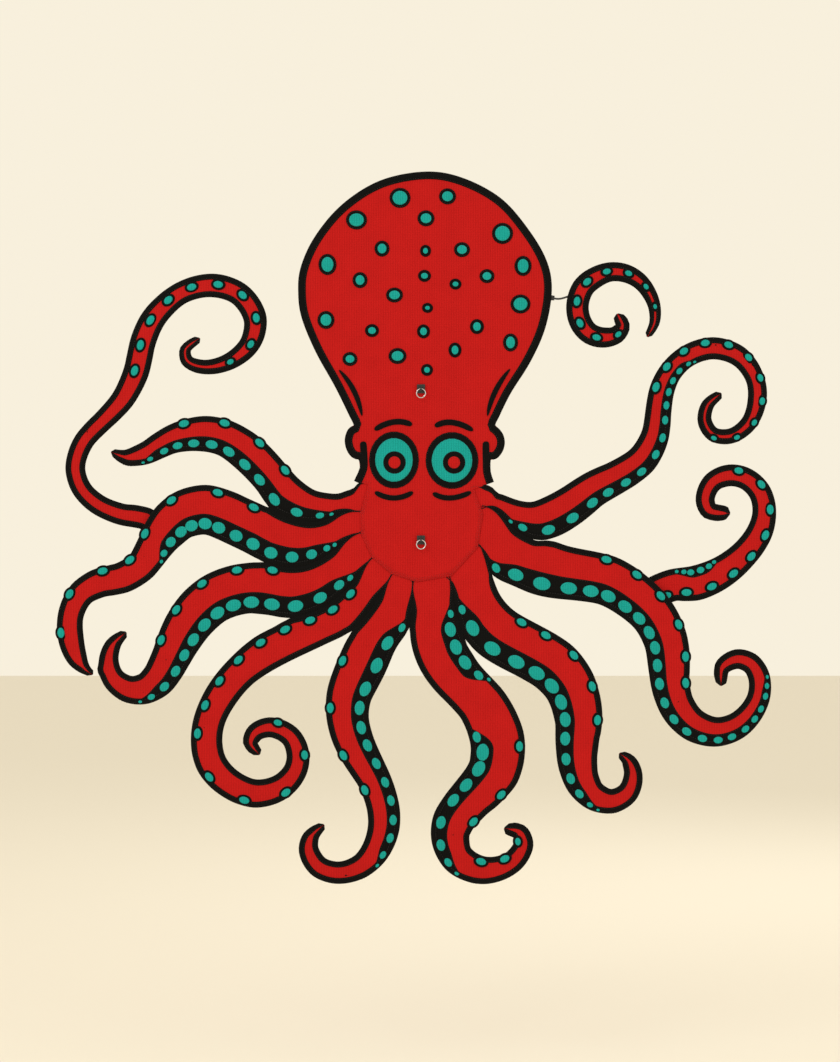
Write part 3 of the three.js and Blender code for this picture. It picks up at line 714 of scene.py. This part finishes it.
def cloth_panel(name, ribbon):
    panel = Piece()
    panel.loft([[ribbon.at(s, t) for t in COLUMNS] for s in ribbon.steps(0, ribbon.length)])
    made = panel.build(name + "_cloth", RED, "red_cloth")
    thick = made.modifiers.new("thickness", "SOLIDIFY")
    thick.thickness = CLOTH
    thick.offset = -1
    return made


def bind_edge(piece, thread, ribbon, name, side):
    """Folded tape over one edge: up to its inner line in front, round the edge and back."""
    rings = []
    line = []
    back = Vector((0, CLOTH, 0))
    for s in ribbon.steps(0, ribbon.length):
        width = BINDING_WIDTH * root_taper(name, s, side)
        tip = smoothstep((s - ribbon.length + TIP_BINDING) / (8 * MM))
        width = min(width, mix(0.42, 0.49, tip) * ribbon.width(s))
        edge = ribbon.inset(s, side, 0)
        inner = ribbon.inset(s, side, width)
        near = ribbon.inset(s, side, width - 0.8 * MM)
        rings.append([
            inner + FRONT * -0.1 * MM, near + FRONT * BINDING_RISE, edge + FRONT * BINDING_RISE * 0.8,
            edge + back * 0.5 + (edge - near).normalized() * 0.6 * MM, edge + back - FRONT * 0.8 * MM,
            near + back - FRONT * 0.9 * MM, inner + back * 0.8])
        line.append(ribbon.inset(s, side, width - 2.6 * MM))
    piece.loft(rings, closed=True, capped=True)
    seam_line(thread, line, BINDING_RISE + 0.2 * MM)


def sucker_band(black, teal, threads, ribbon, band):
    """The dark strip down one side of an arm, with its row of oval suckers."""
    side, start, end, share, suckers = band
    first = start * ribbon.length
    last = end * ribbon.length

    def depth(s):
        rise = smoothstep((s - first) / BAND_GROWS)
        fall = smoothstep((last - s) / BAND_SHRINKS)
        full = share * ribbon.width(s)
        return max(NARROWEST_BAND, full * min(rise, fall))

    rings = []
    line = []
    for s in ribbon.steps(first, last):
        inner = ribbon.inset(s, side, depth(s))
        near = ribbon.inset(s, side, depth(s) - 0.8 * MM)
        middle = ribbon.inset(s, side, depth(s) / 2)
        edge = ribbon.inset(s, side, 1 * MM)
        rings.append([
            inner, near + FRONT * BAND_RISE, middle + FRONT * BAND_RISE, edge + FRONT * BAND_RISE, edge])
        line.append(ribbon.inset(s, side, depth(s) - 2.2 * MM))
    black.loft(rings, closed=True, capped=True)
    seam_line(threads["black"], line, BAND_RISE + 0.2 * MM)

    # The suckers follow the width of the band: wide ones stand further apart.
    stretch = []
    travelled = 0.0
    for s in ribbon.steps(first + FIRST_SUCKER, last - LAST_SUCKER, SUCKER_STEP):
        stretch.append((travelled, s))
        travelled += 1 / max(depth(s), 6 * MM)
    gap = travelled / suckers
    for k in range(suckers):
        wanted = (k + 0.5) * gap
        s = min(stretch, key=lambda entry: abs(entry[0] - wanted))[1]
        deep = depth(s)
        spacing = gap * deep * SUCKER_STEP
        across = side * (1 - 2 * (deep * 0.52) / ribbon.width(s))
        half_along = min(0.35 * spacing, 0.40 * deep)
        half_across = 0.275 * deep
        if half_across < SMALLEST_SUCKER:
            continue
        ahead, beside = ribbon.axes(s, across)
        centre = ribbon.at(s, across)
        dome_patch(teal, centre, ahead, beside, half_along, half_across, PATCH_RISE)
        if half_across > SEWN_SUCKER:
            oval_seam(threads["teal"], centre, ahead, beside, half_along, half_across, PATCH_RISE * 1.02)


def edge_spots(black, teal, ribbon, row):
    """A row of teal spots with black rims along an arm."""
    side, start, end, count, place = row
    for k in range(count):
        s = ribbon.length * (start + (end - start) * k / max(1, count - 1))
        width = ribbon.width(s)
        across = side * min(place, 1 - 2 * EDGE_CLEARANCE / width)
        ahead, beside = ribbon.axes(s, across)
        half_along = min(SPOT_LENGTH, 0.21 * width)
        half_across = min(SPOT_WIDTH, 0.15 * width)
        centre = ribbon.at(s, across)
        dome_patch(black, centre, ahead, beside, half_along + 5 * MM, half_across + 4.5 * MM, RIM_RISE)
        dome_patch(teal, centre, ahead, beside, half_along, half_across, SPOT_RISE)


def round_rod(name, points, radius, body, faceted):
    """A smooth round rod in place of the faceted one."""
    shaft = Piece()
    shaft.loft(rod_rings(points, radius), closed=True, capped=True)
    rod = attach(shaft.build(name, FIBREGLASS, "fibreglass_rod"), body)
    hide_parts(faceted)


def end_cap(name, points, body):
    tip = points[-1]
    ahead = (points[-1] - points[-2]).normalized()
    stations = [tip + ahead * (along * MM) for along, _ in CAP_PROFILE]
    rings = rod_rings(stations, 1.0)
    for ring, at, (_, radius) in zip(rings, stations, CAP_PROFILE):
        for i, corner in enumerate(ring):
            ring[i] = at + (corner - at) * (radius * MM)
    cap = Piece()
    cap.loft(rings, closed=True, capped=True)
    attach(cap.build(name + "_end_cap", VINYL, "black_nylon"), body)


def level_direction(start, end):
    """The direction from start to end, seen from the front."""
    return Vector((end.x - start.x, 0, end.z - start.z)).normalized()


def spar_loops(name, points, body):
    loops = Piece()
    travelled = 0.0
    due = FIRST_LOOP
    for a, b in zip(points, points[1:]):
        travelled += (b - a).length
        if travelled >= due:
            due += SPAR_LOOP_PITCH
            strap(loops, b, level_direction(a, b), SPAR_ROD, b.y - CLOTH_TO_SPAR, SPAR_LOOP_WIDTH)
    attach(loops.build(name + "_spar_loops", BLACK, "black_cloth"), body)


def arm_ribbon(name):
    pivot = Vector(joints_by_body[name]["pos_m"])
    lap = None
    near = CURL_TIP if name == "curl" else pivot
    if name in RING_ARMS:
        lap = Vector((pivot.x, 0, pivot.z)).normalized() * ROOT_LAP
    return Ribbon(name, near, lap)


def close_slits(ribbons):
    """Draws the last narrow gaps between neighbouring arms together, half from each side."""
    lines = {name: (list(ribbons[name].left), list(ribbons[name].right)) for name in RING_ARMS}
    for one, other in zip(RING_ARMS, RING_ARMS[1:]):
        facing = ((ribbons[one].left, ribbons[one].right, lines[other][1]),
                  (ribbons[other].right, ribbons[other].left, lines[one][0]))
        for edge, opposite, beyond in facing:
            for i in range(LAP_SAMPLES, len(edge)):
                slit = distance_to_line(edge[i].x, edge[i].z, beyond)
                closing = (slit / 2 + 0.1 * MM) * (1 - smoothstep((slit - 2.5 * MM) / (3 * MM)))
                edge[i] = edge[i] + (edge[i] - opposite[i]).normalized() * closing


def build_arm(name, pattern, ribbon):
    pivot = Vector(joints_by_body[name]["pos_m"])
    carried = name in CARRIED
    black, teal = Piece(), Piece()
    threads = {"black": Piece(), "teal": Piece()}
    panel = cloth_panel(name, ribbon)
    for side in (1, -1):
        bind_edge(black, threads["black"], ribbon, name, side)
    for band in pattern["bands"]:
        sucker_band(black, teal, threads, ribbon, band)
    for row in pattern["spots"]:
        edge_spots(black, teal, ribbon, row)
    trims = [
        black.build(name + "_black_trim", BLACK, "black_cloth"),
        teal.build(name + "_teal_patches", TEAL, "teal_cloth"),
        threads["black"].build(name + "_binding_stitches", BLACK_THREAD, "black_cloth"),
    ]
    if threads["teal"].verts:
        trims.append(threads["teal"].build(name + "_patch_stitches", TEAL_THREAD, "teal_cloth"))
    width = ribbon.area() / ribbon.length
    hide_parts(name + "_sail")
    for piece in [panel, *trims]:
        if carried:
            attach(piece, name)
        else:
            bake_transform(piece)
    spar = smoothed(in_order(rod_path(name + "_spar"), pivot), 4)
    round_rod(name + "_rod", spar, SPAR_ROD, name, name + "_spar")
    end_cap(name, spar, name)
    spar_loops(name, spar, name)


arm_ribbons = {name: arm_ribbon(name) for name in ARM_PATTERN}
close_slits(arm_ribbons)
for name, pattern in ARM_PATTERN.items():
    arm_ribbons[name].measure()
    build_arm(name, pattern, arm_ribbons[name])

# ------------------------------------------------------------------ the head

HEAD_FRONT = min(corner.y for corner in head_rim)


def head_y(x, z):
    """The front of the head cloth: taut on the rods, blown back a little between them."""
    free = smoothstep((distance_to_rim(x, z, head_rim) - 12 * MM) / (80 * MM))
    free *= smoothstep((abs(x) - 6 * MM) / (80 * MM))
    free *= smoothstep((z - 0.15) / 0.12)
    return HEAD_FRONT + SURFACE + BILLOW * free


def build_head_cloth():
    """One panel: the border of its CAD plate, filled with triangles between staggered rows of points."""
    border = [Vector((corner.x, corner.z)) for corner in head_rim]
    step = 13 * MM
    inside = []
    low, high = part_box("head_sail")
    columns = int((high[0] - low[0]) / step) + 1
    rows = int((high[2] - low[2]) / step) + 1
    for i in range(columns):
        for k in range(rows):
            x = low[0] + (i + 0.5 * (k % 2)) * step
            z = low[2] + k * step
            if contains(border, x, z) and distance_to_rim(x, z, head_rim) > 6 * MM:
                inside.append(Vector((x, z)))
    count = len(border)
    edges = [(i, (i + 1) % count) for i in range(count)]
    points, _, faces, _, _, _ = delaunay_2d_cdt(border + inside, edges, [], 1, 1e-7)
    panel = Piece()
    panel.add([Vector((p.x, head_y(p.x, p.y), p.y)) for p in points], [tuple(face) for face in faces])
    made = panel.build("head_cloth", RED, "red_cloth")
    area = sum(face.area for face in made.data.polygons)
    thick = made.modifiers.new("thickness", "SOLIDIFY")
    thick.thickness = CLOTH
    thick.offset = -1 if made.data.polygons[0].normal.y < 0 else 1
    return made, area


def contains(border, x, z):
    """Whether a place is inside a closed line."""
    inside = False
    for a, b in zip(border, border[1:] + border[:1]):
        if (a.y > z) != (b.y > z) and x < a.x + (b.x - a.x) * (z - a.y) / (b.y - a.y):
            inside = not inside
    return inside


def on_head(x, z):
    """The point of the head cloth at a place in mm."""
    return Vector((x * MM, head_y(x * MM, z * MM), z * MM))


X_AXIS = Vector((1, 0, 0))
Z_AXIS = Vector((0, 0, 1))

# Spots of the head in mm: x, z, half width, half height.
HEAD_SPOTS = [
    (-42, 644, 15, 14), (53, 647, 11, 10), (-129, 600, 15, 13), (10, 603, 11, 10), (163, 573, 15, 15),
    (-78, 543, 9, 10), (9, 538, 5, 6), (82, 541, 10, 9), (-187, 511, 12, 15), (204, 508, 11, 14),
    (-122, 480, 9, 10), (7, 488, 7, 6), (132, 488, 9, 8), (-53, 450, 11, 9), (69, 472, 6, 5),
    (199, 432, 14, 13), (13, 424, 5, 4), (-190, 400, 11, 12), (-98, 379, 8, 7), (5, 377, 7, 8),
    (112, 387, 8, 9), (179, 355, 9, 12), (-142, 322, 9, 8), (-47, 328, 12, 10), (68, 340, 7, 9),
    (12, 300, 6, 6),
]
# Face strokes in mm: start, middle, end, full width, and how blunt their ends are.
CHEEK, BLUNT = 2, 9
HEAD_STROKES = [
    ((-164, 300), (-134, 258), (-118, 208), 11, CHEEK), ((178, 302), (148, 256), (133, 208), 11, CHEEK),
    ((-93, 180), (-54, 196), (-18, 190), 12, BLUNT), ((28, 187), (62, 195), (104, 179), 12, BLUNT),
    ((-92, 56), (-54, 44), (-16, 56), 11, BLUNT), ((24, 54), (58, 44), (100, 56), 11, BLUNT),
    ((-116, 157), (-114, 132), (-113, 100), 14, BLUNT), ((130, 157), (130, 132), (131, 96), 14, BLUNT),
]
# Eyes in mm: centre x and z of the rim, its half sizes, then the pupil's x and z.
EYES = {"left": (-54, 120, 50, 57, -53, 115), "right": (62, 119, 53, 57, 66, 115)}
EYE_RIM = (12, 13)            # width of the black rim at its sides, and at its top and bottom
PUPIL, PUPIL_CENTRE = 23.5, 12.7
EYE_RISES = (1.5, 2.5, 3.5, 4.5)
HEAD_SPOT_RIM = 6 * MM
SEWN_SPOT = 8                 # spots with a larger half width than this have rows of stitches


def stroke(piece, start, middle, end, width, bluntness):
    """A strip of cloth along a bent line: a leaf with a low bluntness, round ends with a high one."""
    start, middle, end = (Vector((x, 0, z)) for x, z in (start, middle, end))
    control = 2 * middle - (start + end) / 2
    rings = []
    steps = 30
    for i in range(steps + 1):
        share = (1 - math.cos(math.pi * i / steps)) / 2
        at = (1 - share) ** 2 * start + 2 * share * (1 - share) * control + share ** 2 * end
        ahead = ((1 - share) * (control - start) + share * (end - control)).normalized()
        beside = flat_turn(ahead)
        half = max(0.3, width / 2 * math.sqrt(1 - abs(2 * share - 1) ** bluntness))
        ring = []
        for across, lift in ((-1, -0.1), (-0.9, 1.0), (0, 1.25), (0.9, 1.0), (1, -0.1)):
            point = on_head(at.x + beside.x * half * across, at.z + beside.z * half * across)
            ring.append(point + FRONT * (lift * RIM_RISE))
        rings.append(ring)
    piece.loft(rings, closed=True, capped=True)


def in_skirt(corner):
    return math.hypot(corner.x, corner.z) < SKIRT_REACH


def beside_edge(at, inward, distance, rise):
    """A point that far in from a place on the edge of the head, and that far off its cloth."""
    x = at.x + inward.x * distance
    z = at.z + inward.z * distance
    return Vector((x, head_y(x, z) - rise, z))


def head_binding(black, thread):
    """Binding round the dome, ears and neck; the skirt has a plain hem."""
    area = sum(a.x * b.z - b.x * a.z for a, b in zip(head_rim, head_rim[1:] + head_rim[:1]))
    outer = head_rim if area > 0 else head_rim[::-1]
    start = next(i for i in range(len(outer)) if in_skirt(outer[i - 1]) and not in_skirt(outer[i]))
    turned = outer[start:] + outer[:start]
    fine = smoothed([corner for corner in turned if not in_skirt(corner)], 3)
    width = HEAD_BINDING_WIDTH
    back = -CLOTH - 0.7 * MM
    profile = [
        (width, -0.1 * MM), (width - 0.8 * MM, BINDING_RISE), (width / 2, BINDING_RISE * 1.2),
        (0.2 * MM, BINDING_RISE * 0.9), (-0.7 * MM, 0), (0, back), (width - 0.8 * MM, back), (width, -CLOTH)]
    rings = []
    line = []
    for i, at in enumerate(fine):
        inward = flat_turn(level_direction(fine[max(i - 1, 0)], fine[min(i + 1, len(fine) - 1)]))
        rings.append([beside_edge(at, inward, distance, rise) for distance, rise in profile])
        line.append(beside_edge(at, inward, width - 2.6 * MM, 0))
    black.loft(rings, closed=True, capped=True)
    seam_line(thread, line, BINDING_RISE + 0.3 * MM)


def skirt_hem(thread):
    """Two rows of stitches along the skirt, where the arms are sewn on behind it."""
    skirt = [corner for corner in head_rim if in_skirt(corner)]
    skirt.sort(key=lambda corner: (math.degrees(math.atan2(corner.z, corner.x)) - 90) % 360)
    for distance in (3 * MM, 7 * MM):
        line = []
        for corner in skirt:
            flat = Vector((corner.x, 0, corner.z))
            at = flat * (1 - distance / flat.length)
            line.append(Vector((at.x, head_y(at.x, at.z), at.z)))
        seam_line(thread, line, 0.3 * MM)


def head_spot(black, teal, threads, x, z, wide, high):
    centre = on_head(x, z)
    sizes = (wide * MM, high * MM)
    rim_sizes = [size + HEAD_SPOT_RIM for size in sizes]
    dome_patch(black, centre, X_AXIS, Z_AXIS, *rim_sizes, RIM_RISE, head_y)
    dome_patch(teal, centre, X_AXIS, Z_AXIS, *sizes, SPOT_RISE, head_y)
    if wide > SEWN_SPOT:
        oval_seam(threads["teal"], centre, X_AXIS, Z_AXIS, *sizes, SPOT_RISE + 0.1 * MM, head_y)
        oval_seam(threads["black"], centre, X_AXIS, Z_AXIS, *rim_sizes, RIM_RISE + 0.2 * MM, head_y)


def eye(patches, threads, x, z, wide, high, pupil_x, pupil_z):
    """Four patches on top of each other: rim, iris, pupil and its centre."""
    centre = on_head(x, z)
    pupil = on_head(pupil_x, pupil_z)
    layers = [
        ("black", centre, wide, high), ("teal", centre, wide - EYE_RIM[0], high - EYE_RIM[1]),
        ("black", pupil, PUPIL, PUPIL), ("red", pupil, PUPIL_CENTRE, PUPIL_CENTRE),
    ]
    for (colour, at, half_wide, half_high), rise in zip(layers, EYE_RISES):
        sizes = (half_wide * MM, half_high * MM)
        dome_patch(patches[colour], at, X_AXIS, Z_AXIS, *sizes, rise * MM, head_y)
        oval_seam(threads[colour], at, X_AXIS, Z_AXIS, *sizes, (rise + 0.2) * MM, head_y)


def build_head():
    panel, area = build_head_cloth()
    patches = {colour: Piece() for colour in ("black", "teal", "red")}
    threads = {colour: Piece() for colour in ("black", "teal", "red")}
    head_binding(patches["black"], threads["black"])
    skirt_hem(threads["red"])
    for spot in HEAD_SPOTS:
        head_spot(patches["black"], patches["teal"], threads, *spot)
    for start, middle, end, width, bluntness in HEAD_STROKES:
        stroke(patches["black"], start, middle, end, width, bluntness)
    for sizes in EYES.values():
        eye(patches, threads, *sizes)
    trims = [
        patches["black"].build("head_black_trim", BLACK, "black_cloth"),
        patches["teal"].build("head_teal_patches", TEAL, "teal_cloth"),
        patches["red"].build("eye_centre_patches", RED, "red_cloth"),
        threads["black"].build("head_black_stitches", BLACK_THREAD, "black_cloth"),
        threads["teal"].build("head_teal_stitches", TEAL_THREAD, "teal_cloth"),
        threads["red"].build("head_red_stitches", RED_THREAD, "red_cloth"),
    ]
    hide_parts("head_sail")
    for piece in [panel, *trims]:
        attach(piece, "head")


build_head()

# ------------------------------------------------------------------ rods and fittings of the head

HOOP_TOP = Vector((0, 0, 690 * MM))


def build_hoop(side):
    """A smooth hoop in place of the faceted one, with straps between the clips that cross it."""
    points = smoothed(in_order(rod_path("hoop_" + side), HOOP_TOP), 4)
    round_rod("hoop_rod_" + side, points, HOOP_ROD, "head", "hoop_" + side)
    loops = Piece()
    travelled = 0.0
    due = FIRST_LOOP
    clips = [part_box(level + "_clip_" + side) for level in ("upper", "lower")]
    for a, b in zip(points, points[1:]):
        travelled += (b - a).length
        clear = all(not low[2] - CLIP_CLEARANCE < b.z < high[2] + CLIP_CLEARANCE for low, high in clips)
        if travelled >= due and clear and b.z > LOWEST_HOOP_LOOP:
            due = travelled + HOOP_LOOP_PITCH
            strap(loops, b, level_direction(a, b), HOOP_ROD, head_y(b.x, b.z) + CLOTH, HOOP_LOOP_WIDTH)
    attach(loops.build("hoop_loops_" + side, BLACK, "black_cloth"), "head")


def build_spine_loops():
    loops = Piece()
    for height in SPINE_LOOPS:
        at = Vector((0, SPINE_Y, height))
        strap(loops, at, Z_AXIS, SPINE_ROD, head_y(0, height) + CLOTH, SPINE_LOOP_WIDTH)
    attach(loops.build("spine_loops", BLACK, "black_cloth"), "head")


def soften_edges(part):
    """Small round edges on a moulded fitting."""
    bevel = part.modifiers.new("soft edges", "BEVEL")
    bevel.width = 0.5 * MM
    bevel.segments = 2
    bevel.limit_method = "ANGLE"
    bevel.angle_limit = math.radians(40)


def shade_round(part):
    part.modifiers.new("round", "WELD").merge_threshold = 0.02 * MM
    for face in part.data.polygons:
        face.use_smooth = True


build_hoop("left")
build_hoop("right")
build_spine_loops()
for subpart in frame["record"]["subparts"]:
    if subpart["material_slot"] == "black_nylon":
        soften_edges(nodes[subpart["node"]])
for name in ("spine", "hub_ring", "upper_spreader", "lower_spreader", "upper_tow_ring", "lower_tow_ring"):
    shade_round(nodes[name])

# ------------------------------------------------------------------ stage, light and camera

FLOOR_Z = -1.12
FLOOR_HALF = 14


def build_floor():
    pale, made, _ = node_tree("pale floor")
    made["Principled BSDF"].inputs["Base Color"].default_value = (0.84, 0.79, 0.69, 1)
    made["Principled BSDF"].inputs["Roughness"].default_value = 0.9
    corners = [(x * FLOOR_HALF, y * FLOOR_HALF, FLOOR_Z) for x, y in ((-1, -1), (1, -1), (1, 1), (-1, 1))]
    mesh = bpy.data.meshes.new("floor")
    mesh.from_pydata(corners, [], [(0, 1, 2, 3)])
    mesh.materials.append(pale)
    floor = bpy.data.objects.new("floor", mesh)
    bpy.context.scene.collection.objects.link(floor)


build_floor()

world = bpy.data.worlds.new("pale room")
world.use_nodes = True
world.node_tree.nodes["Background"].inputs["Color"].default_value = (0.94, 0.87, 0.72, 1)
world.node_tree.nodes["Background"].inputs["Strength"].default_value = 1.0
bpy.context.scene.world = world


def soft_light(name, place, target, size, power):
    data = bpy.data.lights.new(name, "AREA")
    data.size = size
    data.energy = power
    lamp = bpy.data.objects.new(name, data)
    lamp.location = place
    lamp.rotation_euler = (Vector(target) - Vector(place)).to_track_quat("-Z", "Y").to_euler()
    bpy.context.scene.collection.objects.link(lamp)


soft_light("key", (-2.6, -3.2, 2.6), (0, 0, 0), 2.0, 46)
soft_light("fill", (2.8, -3.4, 0.6), (0, 0, 0), 2.4, 18)
soft_light("rear", (1.8, 3.2, 2.2), (0, 0, 0), 2.0, 40)

CAMERA_LENS = 85
SENSOR = 36
VIEW_HEIGHT = 2.124           # metres of the kite's plane in the height of the frame
camera_data = bpy.data.cameras.new("camera")
camera_data.lens = CAMERA_LENS
camera_data.sensor_width = SENSOR
camera = bpy.data.objects.new("camera", camera_data)
camera.location = (-0.002, -VIEW_HEIGHT * CAMERA_LENS / SENSOR, -0.022)
camera.rotation_euler = (math.pi / 2, 0, 0)
bpy.context.scene.collection.objects.link(camera)
bpy.context.scene.camera = camera
bpy.context.scene.view_settings.view_transform = "Standard"
